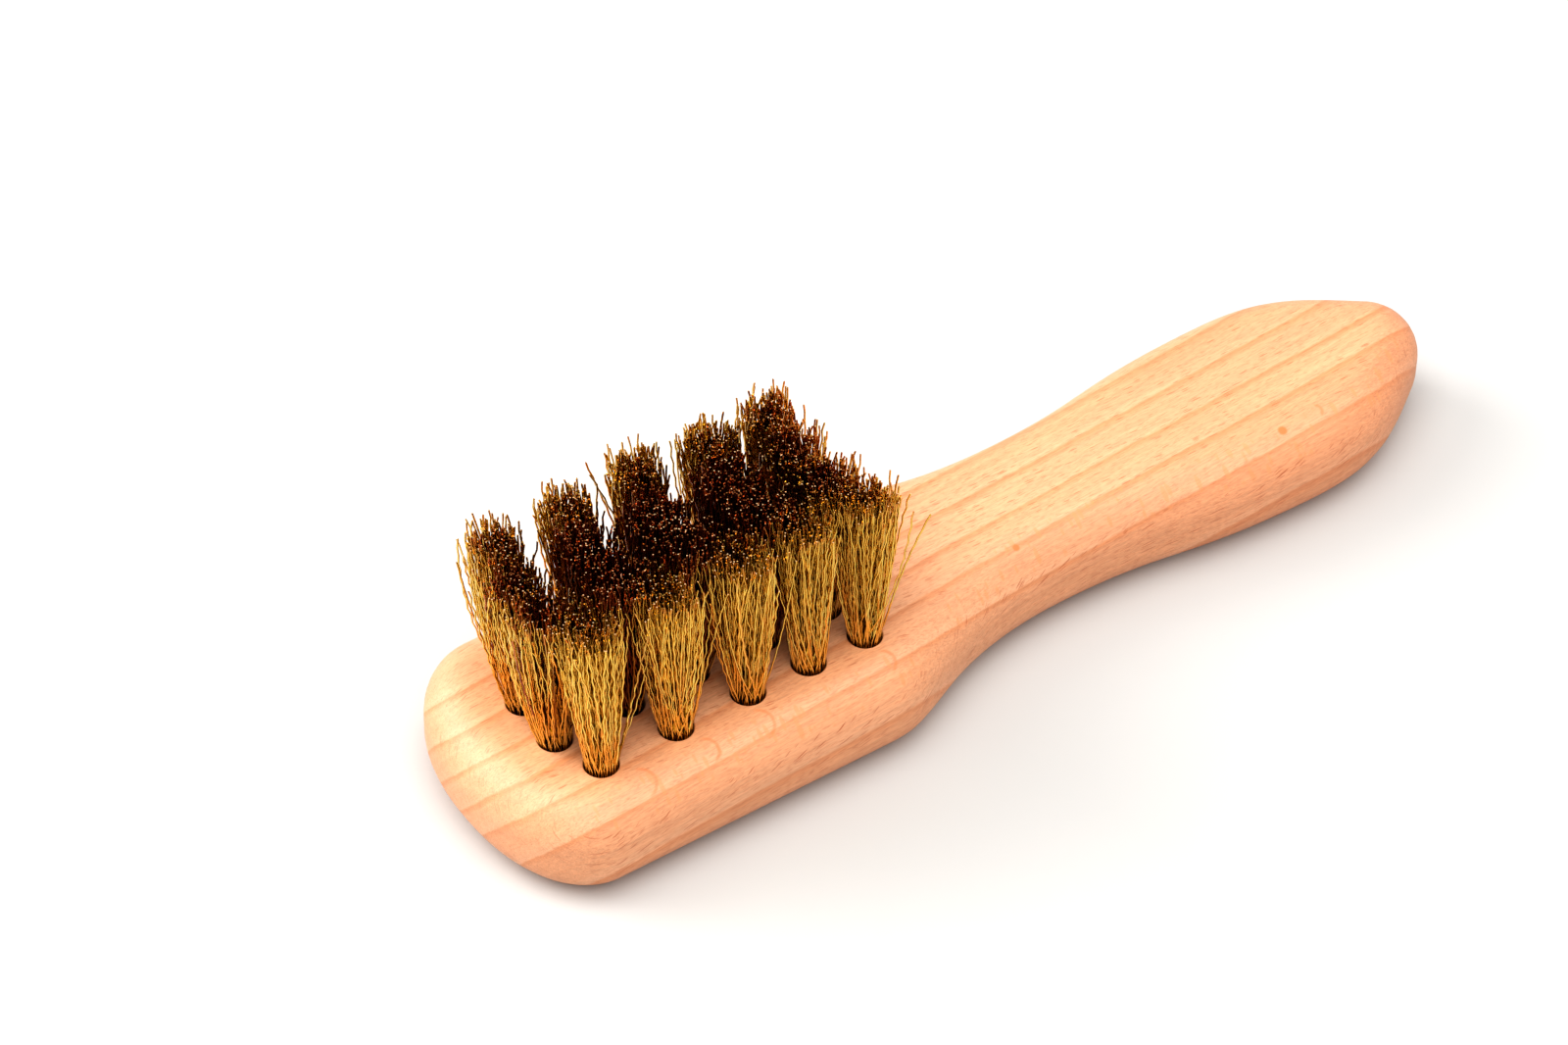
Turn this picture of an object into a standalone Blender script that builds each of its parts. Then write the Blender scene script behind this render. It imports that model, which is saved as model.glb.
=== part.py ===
"""Brass wire brush: a one-piece beech body with twenty tufts of brass wire.

The head is at -X and the grip at +X. The brush rests on its flat back, wires up.
The origin lies in the plane of the back, at the middle of the brush's length.
All lengths are in metres.
"""

import itertools
import math

import bmesh
import bpy
from mathutils import Matrix, Vector

# Body
BODY_THICKNESS = 0.0145
HEAD_WIDTH = 0.0374
NECK_WIDTH = 0.0219
GRIP_WIDTH = 0.0278
EDGE_RADIUS = 0.006
EDGE_LIMIT_SHARE = 0.45

# Stretches of the body from the head's end: its rounded corner, its straight sides,
# the shoulder down to the narrowest place, the rise to the widest and the grip's end
HEAD_CORNER_LENGTH = 0.0115
HEAD_SIDE_LENGTH = 0.040
SHOULDER_LENGTH = 0.0317
GRIP_RISE_LENGTH = 0.0368
GRIP_END_LENGTH = 0.024

# Rounding of the grip's end, seen from above
GRIP_END_RADIUS = 0.007
GRIP_END_ANGLE = math.radians(54)

# How far each handle of the outline reaches, as a share of the stretch it shapes
HEAD_END_SHARES = (0.73, 0.38)
SHOULDER_SHARES = (0.16, 0.65)
WAIST_SHARES = (0.47, 0.54)
GRIP_END_SHARES = (0.48, 0.45)

# Holes and the four rows that they stand in, whose offsets are shares of the head's half width
HOLE_DIAMETER = 0.0044
HOLE_DEPTH = 0.009
DRILL_POINT_ANGLE = math.radians(118)
INNER_ROW_SHARE = 0.188
OUTER_ROW_SHARE = 0.536
INNER_ROW_START = 0.0113
INNER_ROW_LENGTH = 0.039
INNER_ROW_SHARES = (0, 0.264, 0.503, 0.769, 1)
OUTER_ROW_START = 0.0137
OUTER_ROW_LENGTH = 0.0382
OUTER_ROW_SHARES = (0, 0.28, 0.552, 0.783, 1)

# Tufts
TUFT_HEIGHT = 0.022
TUFT_GAP = 0.0007
OUTWARD_LEAN = 0.0014
ROOT_RECESS = 0.0016
ROOT_OVERLAP = 0.0005
STRANDS = 16
STRAND_SIDES = 3
STRAND_RADIUS = 0.00027
STRAND_MARGIN = 0.0001
CRIMP_HEIGHT = 0.00035
CRIMP_SHARES = (0, 1, -1, 0)

# Anchors, which are driven across the fold of each tuft
ANCHOR_BITE = 0.0005
ANCHOR_THICKNESS = 0.0004
ANCHOR_HEIGHT = 0.0016
ANCHOR_LIFT = 0.0012

CLEARANCE = 0.0003
CUT_OVERRUN = 0.001
MERGE_DISTANCE = 0.00001

# Facets
OUTLINE_STEPS = 10
EDGE_STEPS = 3
HOLE_SIDES = 16
ROOT_SIDES = 10

GOLDEN_ANGLE = math.pi * (3 - math.sqrt(5))


def clear_scene():
    for obj in list(bpy.data.objects):
        bpy.data.objects.remove(obj, do_unlink=True)


def new_collection(name):
    collection = bpy.data.collections.new(name)
    bpy.context.scene.collection.children.link(collection)
    return collection


def new_material(name, color, roughness, metallic):
    material = bpy.data.materials.new(name)
    material.use_nodes = True
    shader = material.node_tree.nodes["Principled BSDF"]
    shader.inputs["Base Color"].default_value = (*color, 1)
    shader.inputs["Roughness"].default_value = roughness
    shader.inputs["Metallic"].default_value = metallic
    material.diffuse_color = (*color, 1)
    return material


def new_object(name, mesh, collection, location=(0, 0, 0)):
    obj = bpy.data.objects.new(name, mesh)
    obj.location = location
    collection.objects.link(obj)
    return obj


def mark_helper(obj):
    obj.hide_render = True
    obj.display_type = "WIRE"


def smooth(mesh, angle):
    mesh.shade_smooth()
    mesh.set_sharp_from_angle(angle=angle)


def body_length():
    head = HEAD_CORNER_LENGTH + HEAD_SIDE_LENGTH
    return head + SHOULDER_LENGTH + GRIP_RISE_LENGTH + GRIP_END_LENGTH


def edge_radius():
    """The edge's radius, held under what the thickness and the neck leave for it."""
    return min(EDGE_RADIUS, EDGE_LIMIT_SHARE * BODY_THICKNESS, EDGE_LIMIT_SHARE * NECK_WIDTH)


def hole_radius():
    return HOLE_DIAMETER / 2


def root_radius():
    return hole_radius() - CLEARANCE


def anchor_length():
    return HOLE_DIAMETER + 2 * ANCHOR_BITE


def anchor_base():
    """Height of the anchor's lower edge."""
    return BODY_THICKNESS - HOLE_DEPTH + ANCHOR_LIFT


def tuft_places():
    """Name, place on the body's upper face and outward lean of each tuft."""
    head_end = -body_length() / 2
    outer_offset = OUTER_ROW_SHARE * HEAD_WIDTH / 2
    inner_offset = INNER_ROW_SHARE * HEAD_WIDTH / 2
    inner = (INNER_ROW_START, INNER_ROW_LENGTH, INNER_ROW_SHARES)
    outer = (OUTER_ROW_START, OUTER_ROW_LENGTH, OUTER_ROW_SHARES)
    rows = {
        "a": (-outer_offset, outer),
        "b": (-inner_offset, inner),
        "c": (inner_offset, inner),
        "d": (outer_offset, outer),
    }
    middle = head_end + OUTER_ROW_START + OUTER_ROW_LENGTH / 2
    places = {}
    for row, (offset, (start, length, shares)) in rows.items():
        for number, share in enumerate(shares, 1):
            place = Vector((head_end + start + share * length, offset, BODY_THICKNESS))
            lean = Vector(((place.x - middle) / (OUTER_ROW_LENGTH / 2), offset / outer_offset, 0))
            places[f"{row}{number}"] = (place, lean * OUTWARD_LEAN)
    return places


def tip_radius(places):
    """How far the tufts fan out at the tips: until only a small gap is left between neighbours."""
    pairs = itertools.combinations([place for place, _ in places.values()], 2)
    return (min((first - second).length for first, second in pairs) - TUFT_GAP) / 2


def face_outline():
    """Bezier points of one side of the flat face: point, handle before and handle after."""
    radius = edge_radius()
    head_end = -body_length() / 2
    head_half = HEAD_WIDTH / 2 - radius
    neck_half = NECK_WIDTH / 2 - radius
    grip_half = GRIP_WIDTH / 2 - radius

    start = Vector((head_end + radius, 0, 0))
    corner = Vector((head_end + HEAD_CORNER_LENGTH, head_half, 0))
    shoulder = Vector((corner.x + HEAD_SIDE_LENGTH, head_half, 0))
    neck = Vector((shoulder.x + SHOULDER_LENGTH, neck_half, 0))
    grip = Vector((neck.x + GRIP_RISE_LENGTH, grip_half, 0))
    end = Vector((grip.x + GRIP_END_LENGTH - radius, 0, 0))

    end_radius = max(GRIP_END_RADIUS - radius, CLEARANCE)
    outward = Vector((math.cos(GRIP_END_ANGLE), math.sin(GRIP_END_ANGLE), 0))
    taper = Vector((outward.y, -outward.x, 0))
    flank = end + end_radius * (outward - Vector((1, 0, 0)))
    arc_handle = 4 / 3 * math.tan(GRIP_END_ANGLE / 4) * end_radius

    along = Vector((1, 0, 0))
    out = Vector((0, 1, 0))
    side = (shoulder.x - corner.x) / 3
    run = flank.x - grip.x
    before = (
        -HEAD_END_SHARES[0] * head_half * out,
        -HEAD_END_SHARES[1] * (corner.x - start.x) * along,
        -side * along,
        -SHOULDER_SHARES[1] * (neck.x - shoulder.x) * along,
        -WAIST_SHARES[1] * (grip.x - neck.x) * along,
        -GRIP_END_SHARES[1] * run * taper,
        arc_handle * out,
    )
    after = (
        HEAD_END_SHARES[0] * head_half * out,
        side * along,
        SHOULDER_SHARES[0] * (neck.x - shoulder.x) * along,
        WAIST_SHARES[0] * (grip.x - neck.x) * along,
        GRIP_END_SHARES[0] * run * along,
        arc_handle * taper,
        -arc_handle * out,
    )
    points = (start, corner, shoulder, neck, grip, flank, end)
    return [(p, p + b, p + a) for p, b, a in zip(points, before, after)]


def closed_outline():
    """The outline of the flat face all the way round, the second side mirrored from the first."""
    one_side = face_outline()
    across = Matrix.Diagonal((1, -1, 1))
    other_side = [(across @ p, across @ a, across @ b) for p, b, a in reversed(one_side[1:-1])]
    return one_side + other_side


def blank_curve():
    """The body before drilling, as an outline that is extruded and rounded all round."""
    curve = bpy.data.curves.new("body_outline", "CURVE")
    curve.dimensions = "2D"
    curve.fill_mode = "BOTH"
    curve.resolution_u = OUTLINE_STEPS
    curve.bevel_depth = edge_radius()
    curve.bevel_resolution = EDGE_STEPS
    curve.extrude = BODY_THICKNESS / 2 - edge_radius()
    points = closed_outline()
    spline = curve.splines.new("BEZIER")
    spline.bezier_points.add(len(points) - 1)
    spline.use_cyclic_u = True
    for knot, (place, before, after) in zip(spline.bezier_points, points):
        knot.handle_left_type = "FREE"
        knot.handle_right_type = "FREE"
        knot.co = place
        knot.handle_left = before
        knot.handle_right = after
    return curve


def mesh_from_curve(curve, name):
    """A closed mesh of the curve, with its caps welded on."""
    guide = bpy.data.objects.new(curve.name, curve)
    bpy.context.scene.collection.objects.link(guide)
    graph = bpy.context.evaluated_depsgraph_get()
    mesh = bpy.data.meshes.new_from_object(guide.evaluated_get(graph))
    mesh.name = name
    bpy.data.objects.remove(guide, do_unlink=True)
    bm = bmesh.new()
    bm.from_mesh(mesh)
    bmesh.ops.remove_doubles(bm, verts=bm.verts, dist=MERGE_DISTANCE)
    bmesh.ops.recalc_face_normals(bm, faces=bm.faces)
    bm.to_mesh(mesh)
    bm.free()
    return mesh


def drill_mesh():
    """Half profile of the drill from its overrun above the face down to its point."""
    radius = hole_radius()
    point = radius / math.tan(DRILL_POINT_ANGLE / 2)
    profile = [
        (0, CUT_OVERRUN),
        (radius, CUT_OVERRUN),
        (radius, -HOLE_DEPTH),
        (0, -HOLE_DEPTH - point),
    ]
    mesh = bpy.data.meshes.new("drill")
    bm = bmesh.new()
    corners = [bm.verts.new((x, 0, z)) for x, z in profile]
    for first, second in zip(corners, corners[1:]):
        bm.edges.new((first, second))
    bm.to_mesh(mesh)
    bm.free()
    return mesh


def add_drills(places, collection):
    mesh = drill_mesh()
    for name, (place, _) in places.items():
        drill = new_object(f"drill_{name}", mesh, collection, place)
        screw = drill.modifiers.new("turn", "SCREW")
        screw.steps = HOLE_SIDES
        screw.render_steps = HOLE_SIDES
        screw.use_merge_vertices = True
        screw.merge_threshold = MERGE_DISTANCE
        screw.use_smooth_shade = True
        mark_helper(drill)


def box_mesh(name, size):
    mesh = bpy.data.meshes.new(name)
    bm = bmesh.new()
    bmesh.ops.create_cube(bm, size=1, matrix=Matrix.Diagonal((*size, 1)))
    bm.to_mesh(mesh)
    bm.free()
    return mesh


def anchor_size():
    return Vector((anchor_length(), ANCHOR_THICKNESS, ANCHOR_HEIGHT))


def anchor_centre(place):
    return Vector((place.x, place.y, anchor_base() + ANCHOR_HEIGHT / 2))


def add_pockets(places, collection):
    """The slots that the anchors fill, in the hole's walls and through the tufts' roots."""
    around = Vector((1, 1, 1)) * 2 * CLEARANCE
    mesh = box_mesh("pocket", anchor_size() + around)
    pockets = {}
    for name, (place, _) in places.items():
        pockets[name] = new_object(f"pocket_{name}", mesh, collection, anchor_centre(place))
        mark_helper(pockets[name])
    return pockets


def add_body(drills, pockets, collection, material):
    mesh = mesh_from_curve(blank_curve(), "beech_body")
    body = new_object("beech_body", mesh, collection, (0, 0, BODY_THICKNESS / 2))
    smooth(mesh, math.radians(40))
    mesh.materials.clear()
    mesh.materials.append(material)
    for name, cutters in (("drilled_holes", drills), ("anchor_pockets", pockets)):
        cut = body.modifiers.new(name, "BOOLEAN")
        cut.operation = "DIFFERENCE"
        cut.operand_type = "COLLECTION"
        cut.collection = cutters
        cut.solver = "EXACT"


def strand_points(number, lean, fan):
    """Stations of one strand, which fans out from the root to the tip."""
    share = math.sqrt((number + 0.5) / STRANDS)
    angle = number * GOLDEN_ANGLE
    direction = Vector((math.cos(angle), math.sin(angle), 0))
    root = root_radius() - STRAND_RADIUS - STRAND_MARGIN
    bottom = direction * share * root
    bottom.z = -ROOT_RECESS - ROOT_OVERLAP
    top = direction * share * (fan - STRAND_RADIUS) + lean
    top.z = TUFT_HEIGHT
    steps = len(CRIMP_SHARES) - 1
    points = []
    for step, crimp_share in enumerate(CRIMP_SHARES):
        point = bottom.lerp(top, step / steps)
        point.x += crimp_share * CRIMP_HEIGHT
        points.append(point)
    return points


def strands_mesh(lean, fan):
    """The strands of one tuft: three-sided wires, each extruded from station to station."""
    mesh = bpy.data.meshes.new("strands")
    bm = bmesh.new()
    for number in range(STRANDS):
        points = strand_points(number, lean, fan)
        turn = Matrix.Rotation(number * GOLDEN_ANGLE, 4, "Z")
        start = Matrix.Translation(points[0]) @ turn
        made = bmesh.ops.create_circle(
            bm, cap_ends=True, segments=STRAND_SIDES, radius=STRAND_RADIUS, matrix=start
        )
        face = made["verts"][0].link_faces[0]
        for here, there in zip(points, points[1:]):
            grown = bmesh.ops.extrude_face_region(bm, geom=[face, *face.edges])
            face = next(item for item in grown["geom"] if isinstance(item, bmesh.types.BMFace))
            bmesh.ops.translate(bm, verts=face.verts, vec=there - here)
    bmesh.ops.recalc_face_normals(bm, faces=bm.faces)
    bm.to_mesh(mesh)
    bm.free()
    return mesh


def root_mesh():
    """The folded wires packed in the hole, from just above its floor to just under the face."""
    height = HOLE_DEPTH - CLEARANCE - ROOT_RECESS
    centre = Vector((0, 0, -ROOT_RECESS - height / 2))
    mesh = bpy.data.meshes.new("tuft_root")
    bm = bmesh.new()
    bmesh.ops.create_cone(
        bm,
        cap_ends=True,
        segments=ROOT_SIDES,
        radius1=root_radius(),
        radius2=root_radius(),
        depth=height,
        matrix=Matrix.Translation(centre),
    )
    bm.to_mesh(mesh)
    bm.free()
    return mesh


def add_tuft(name, place, strands, pocket, collection, material):
    mesh = root_mesh()
    tuft = new_object(f"brass_tuft_{name}", mesh, collection, place)
    slot = tuft.modifiers.new("anchor_slot", "BOOLEAN")
    slot.operation = "DIFFERENCE"
    slot.object = pocket
    slot.solver = "EXACT"
    join = tuft.modifiers.new("strands", "BOOLEAN")
    join.operation = "UNION"
    join.object = strands
    join.solver = "EXACT"
    mesh.materials.append(material)


def add_anchors(places, collection, material):
    mesh = box_mesh("anchor", anchor_size())
    mesh.materials.append(material)
    for name, (place, _) in places.items():
        new_object(f"anchor_{name}", mesh, collection, anchor_centre(place))


def main():
    clear_scene()
    parts = new_collection("brass_brush")
    drills = new_collection("drill_cutters")
    slots = new_collection("pocket_cutters")
    helpers = new_collection("strand_helpers")
    beech = new_material("oiled_beech", (0.80, 0.50, 0.28), 0.5, 0)
    brass = new_material("brass_wire", (0.80, 0.55, 0.22), 0.3, 1)
    steel = new_material("steel", (0.55, 0.55, 0.56), 0.35, 1)

    places = tuft_places()
    add_drills(places, drills)
    pockets = add_pockets(places, slots)
    add_body(drills, slots, parts, beech)
    fan = tip_radius(places)
    for name, (place, lean) in places.items():
        strands = new_object(f"strands_{name}", strands_mesh(lean, fan), helpers, place)
        mark_helper(strands)
        add_tuft(name, place, strands, pockets[name], parts, brass)
    add_anchors(places, parts, steel)


main()
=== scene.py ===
"""Looks of the brass wire brush, built round its CAD frame.

The brush lies on its flat back with the wires up. The head points to -X, the grip to +X and
the near long side to -Y. Lengths are in metres, except inside the wood's pattern, which is
laid out in millimetres.
"""

import logging
import math
import random
from dataclasses import dataclass, field
from enum import Enum
from functools import partial, reduce

import bmesh
import bpy
from mathutils import Matrix, Vector
from mathutils.geometry import interpolate_bezier


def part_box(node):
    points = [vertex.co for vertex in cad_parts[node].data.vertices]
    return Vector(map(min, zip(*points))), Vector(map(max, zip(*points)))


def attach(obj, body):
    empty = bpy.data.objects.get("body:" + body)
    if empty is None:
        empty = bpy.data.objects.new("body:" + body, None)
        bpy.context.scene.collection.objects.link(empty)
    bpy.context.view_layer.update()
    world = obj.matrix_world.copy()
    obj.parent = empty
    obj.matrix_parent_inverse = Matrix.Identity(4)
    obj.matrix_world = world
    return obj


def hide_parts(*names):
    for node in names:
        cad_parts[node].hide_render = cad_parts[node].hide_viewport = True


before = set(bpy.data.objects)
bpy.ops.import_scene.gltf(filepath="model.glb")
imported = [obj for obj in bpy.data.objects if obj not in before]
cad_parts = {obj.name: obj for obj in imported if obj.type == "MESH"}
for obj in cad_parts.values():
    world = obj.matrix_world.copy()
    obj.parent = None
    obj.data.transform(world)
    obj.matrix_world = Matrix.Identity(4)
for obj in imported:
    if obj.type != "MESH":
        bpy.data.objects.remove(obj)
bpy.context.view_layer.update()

ROOT_BODY = "root"
SEED = 20
MILLIMETRES = 1000.0
MERGE_DISTANCE = 0.000001
OVERRUN = 0.001
GOLDEN_ANGLE = math.pi * (3 - math.sqrt(5))
# The Mix node's sockets when it is set to colour.
MIX_INPUTS = (0, 6, 7)
MIXED = 2

Pair = tuple[float, float]
Triple = tuple[float, float, float]
Colour = tuple[float, float, float]
# A wire's bends, and how much painted shade it takes from standing deep among the others.
Wire = tuple[list[Vector], float]
BMesh = bmesh.types.BMesh
Material = bpy.types.Material
Socket = bpy.types.NodeSocket
# What an input takes: a socket or a plain value.
Value = Socket | float | tuple | list

log = logging.getLogger("brass_brush")


class Slot(Enum):
    """The record's material slots."""

    BEECH = "beech"
    WIRE = "brass_wire"


class Row(Enum):
    """The rows of tufts, from the near long side to the far one."""

    NEAR = "a"
    NEAR_MIDDLE = "b"
    FAR_MIDDLE = "c"
    FAR = "d"


class Coordinate(Enum):
    """Where a material takes its pattern's place from."""

    OBJECT = "Object"
    NORMAL = "Normal"


def new_piece(name: str, bm: BMesh, material: Material | None = None) -> bpy.types.Object:
    """Turns a bmesh into an object at the origin.

    Args:
        name: The object's name.
        bm: The shape, which is freed.
        material: The finish, which a cutter goes without.

    Returns:
        The new object, linked to the scene.
    """
    mesh = bpy.data.meshes.new(name)
    bm.to_mesh(mesh)
    bm.free()
    if material:
        mesh.materials.append(material)
    piece = bpy.data.objects.new(name, mesh)
    bpy.context.scene.collection.objects.link(piece)
    return piece


def smooth_by_angle(bm: BMesh, limit: float) -> None:
    """Shades the faces smooth and keeps each edge sharper than the limit hard.

    Args:
        bm: The shape.
        limit: The largest angle, in radians, that still shades as one surface.
    """
    for face in bm.faces:
        face.smooth = True
    for edge in bm.edges:
        edge.smooth = len(edge.link_faces) == 2 and edge.calc_face_angle(0) < limit


def heading(angle: float, length: float = 1.0) -> Vector:
    """Lays a level vector of a length at an angle from +X, and returns it."""
    return Vector((length * math.cos(angle), length * math.sin(angle), 0))


def report(piece: bpy.types.Object) -> None:
    """Logs a piece's name and its number of faces."""
    log.info("%s: %d faces", piece.name, len(piece.data.polygons))


@dataclass(frozen=True)
class Noise:
    """How far a noise is squeezed along each axis, and how rough it is."""

    scale: Triple = (1.0, 1.0, 1.0)
    detail: float = 2.0
    roughness: float = 0.5


@dataclass
class Wiring:
    """Adds and joins the nodes of a material or of a node group."""

    tree: bpy.types.NodeTree

    def add(self, kind: str, values: dict | tuple = (), **settings: object) -> bpy.types.Node:
        """Adds a node.

        Args:
            kind: The node's type.
            values: What its inputs take, as for feed.
            **settings: The node's own settings.

        Returns:
            The new node.
        """
        node = self.tree.nodes.new(kind)
        for name, value in settings.items():
            setattr(node, name, value)
        self.feed(node, values)
        return node

    def feed(self, node: bpy.types.Node, values: dict | tuple) -> None:
        """Sets a node's inputs, or links them to the sockets that feed them.

        Args:
            node: The node.
            values: What the inputs take, by their names or numbers, or else in their order.
        """
        for key, value in values.items() if isinstance(values, dict) else enumerate(values):
            if isinstance(value, Socket):
                self.tree.links.new(value, node.inputs[key])
            else:
                node.inputs[key].default_value = value

    def attribute(self, name: str) -> Socket:
        """Adds an Attribute node and returns its value."""
        return self.add("ShaderNodeAttribute", attribute_name=name).outputs["Fac"]

    def math(self, operation: str, *values: Value, clamp: bool = False) -> Socket:
        """Adds a Math node and returns its result."""
        return self.add("ShaderNodeMath", values, operation=operation, use_clamp=clamp).outputs[0]

    def measure(self, operation: str, *vectors: Value) -> Socket:
        """Adds a Vector Math node whose result is a number, and returns that."""
        return self.add("ShaderNodeVectorMath", vectors, operation=operation).outputs["Value"]

    def most(self, masks: list[Socket]) -> Socket:
        """Joins masks by their largest value and returns the result."""
        return reduce(partial(self.math, "MAXIMUM"), masks)

    def split(self, vector: Socket) -> list[Socket]:
        """Adds a Separate XYZ and returns its three values."""
        return list(self.add("ShaderNodeSeparateXYZ", (vector,)).outputs)

    def join(self, *values: Value) -> Socket:
        """Adds a Combine XYZ and returns its vector."""
        return self.add("ShaderNodeCombineXYZ", values).outputs[0]

    def scaled(self, vector: Socket, scale: Triple) -> Socket:
        """Adds a Mapping node and returns its vector."""
        return self.add("ShaderNodeMapping", {"Vector": vector, "Scale": scale}).outputs[0]

    def noise(self, vector: Socket, noise: Noise) -> Socket:
        """Adds a Noise Texture.

        Args:
            vector: Where it is read.
            noise: How far it is squeezed, and how rough it is.

        Returns:
            The noise's value.
        """
        place = {"Vector": self.scaled(vector, noise.scale), "Scale": 1.0}
        look = {"Detail": noise.detail, "Roughness": noise.roughness}
        return self.add("ShaderNodeTexNoise", place | look).outputs[0]

    def range(self, *values: Value, soft: bool = False) -> Socket:
        """Adds a clamped Map Range, to 0 and 1 if not given, and returns its result."""
        kind = "SMOOTHSTEP" if soft else "LINEAR"
        return self.add("ShaderNodeMapRange", values, interpolation_type=kind).outputs[0]

    def mix(self, factor: Value, first: Value, second: Value, blend: str = "MIX") -> Socket:
        """Adds a Mix node set to colour, and returns its colour."""
        values = dict(zip(MIX_INPUTS, (factor, first, second)))
        return self.add("ShaderNodeMix", values, data_type="RGBA", blend_type=blend).outputs[MIXED]

    def blend(self, mask: Socket, weight: float, colour: Socket, other: Colour) -> Socket:
        """Mixes a plain colour in by a mask and a weight, and returns the result."""
        return self.mix(self.math("MULTIPLY", mask, weight), colour, (*other, 1))

    def mottle(
        self, group: bpy.types.NodeTree, vector: Socket, strength: float, scale: float = 1.0
    ) -> Socket:
        """Adds the group for uneven tone and returns its tone."""
        values = {"Vector": vector, "Scale": scale, "Strength": strength}
        return self.add("ShaderNodeGroup", values, node_tree=group).outputs["Tone"]

    def ramp(self, value: Socket, stops: list[Pair]) -> Socket:
        """Adds a grey Color Ramp.

        Args:
            value: The socket that it reads.
            stops: The ramp's places and their grey values, in order.

        Returns:
            The ramp's colour socket.
        """
        node = self.add("ShaderNodeValToRGB", (value,))
        elements = node.color_ramp.elements
        while len(elements) < len(stops):
            elements.new(1)
        for element, (place, grey) in zip(elements, stops):
            element.position = place
            element.color = (grey, grey, grey, 1)
        return node.outputs[0]


def start_material(name: str) -> tuple[Material, Wiring, bpy.types.Node]:
    """Makes a node material.

    Args:
        name: The material's name.

    Returns:
        The material, its wiring and its Principled shader.
    """
    material = bpy.data.materials.new(name)
    material.use_nodes = True
    shader = material.node_tree.nodes["Principled BSDF"]
    return material, Wiring(material.node_tree), shader


def mottle_group() -> bpy.types.NodeTree:
    """Builds the uneven tone that wood, wire and steel share.

    Returns:
        A group that puts out a value round 1.
    """
    group = bpy.data.node_groups.new("mottle", "ShaderNodeTree")
    group.interface.new_socket("Vector", in_out="INPUT", socket_type="NodeSocketVector")
    for label in ("Scale", "Strength"):
        group.interface.new_socket(label, in_out="INPUT", socket_type="NodeSocketFloat")
    group.interface.new_socket("Tone", in_out="OUTPUT", socket_type="NodeSocketFloat")
    wiring = Wiring(group)
    start, end = wiring.add("NodeGroupInput"), wiring.add("NodeGroupOutput")
    noise = wiring.noise(start.outputs["Vector"], Noise(detail=3.0, roughness=0.55))
    wiring.feed(noise.node, {"Scale": start.outputs["Scale"]})
    centred = wiring.math("SUBTRACT", noise, 0.5)
    swing = wiring.math("MULTIPLY", centred, start.outputs["Strength"])
    wiring.feed(end, {"Tone": wiring.math("ADD", swing, 1.0)})
    return group


@dataclass(frozen=True)
class Rays:
    """Rays of one size in the wood.

    The room is what one ray has along the grain, out from the pith and round it. Rare is the
    share of the rooms that hold no ray, and reach is the largest ray as a share of its room.
    """

    room: Triple
    rare: float
    reach: float
    weight: float
    colour: Colour


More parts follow.
